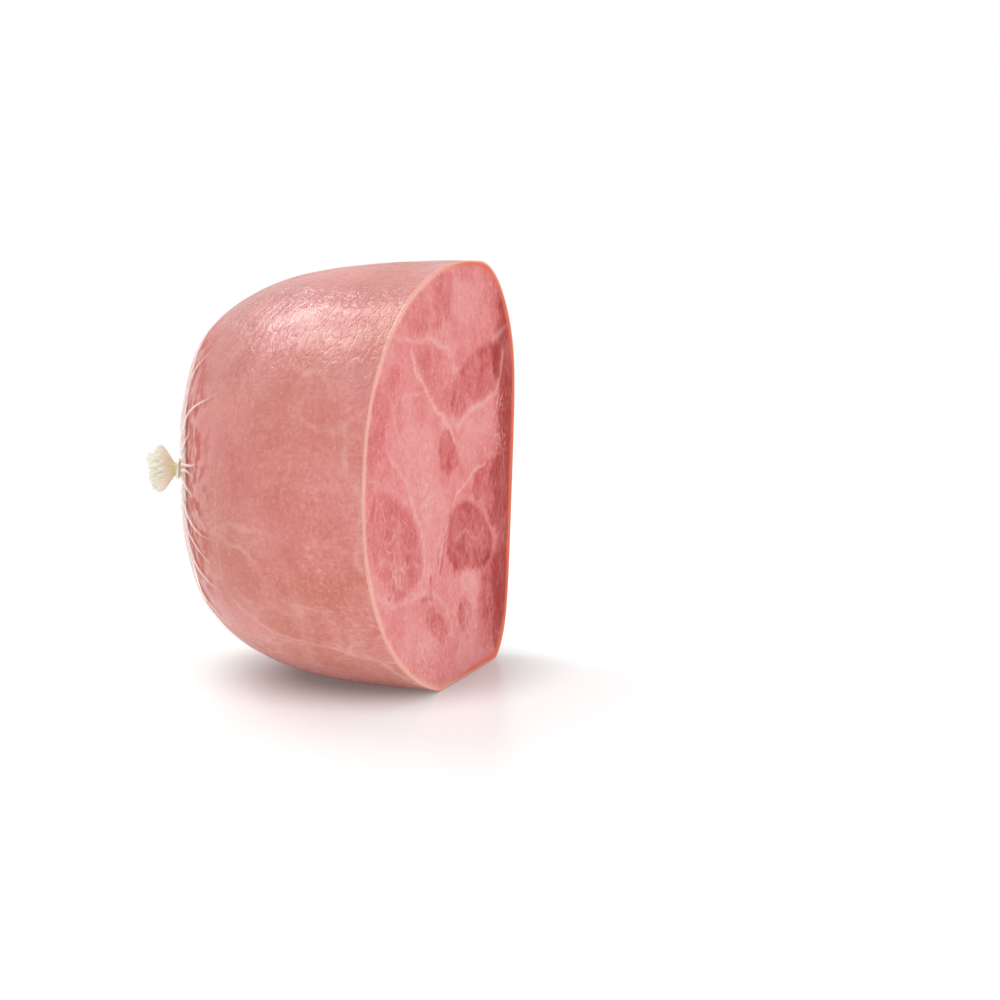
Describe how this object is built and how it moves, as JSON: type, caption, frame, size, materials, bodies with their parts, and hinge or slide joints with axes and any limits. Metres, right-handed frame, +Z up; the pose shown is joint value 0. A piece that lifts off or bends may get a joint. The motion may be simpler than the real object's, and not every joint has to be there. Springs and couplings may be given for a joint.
{
  "type": "smoked ham",
  "caption": "Half of a cooked smoked ham, cut across, in a clear film casing that is gathered, clipped and tufted at the uncut end.",
  "frame": {"origin": "on the resting surface, under the centre of the bounding box", "axes": "+Z up from the resting surface; +X out of the cut face, so the clip is at -X; the round side of the ham is at -Y and its pressed back at +Y"},
  "size_m": [0.1268, 0.1428, 0.15],
  "materials": {
    "meat": "moist pink cured meat with pale seams on the cut face, smoked orange-red skin",
    "film": "clear glossy film, cream where it is gathered",
    "clip": "bright drawn wire"
  },
  "bodies": {
    "root": {"ham": "meat", "casing": "film", "clip": "clip"}
  },
  "joints": []
}
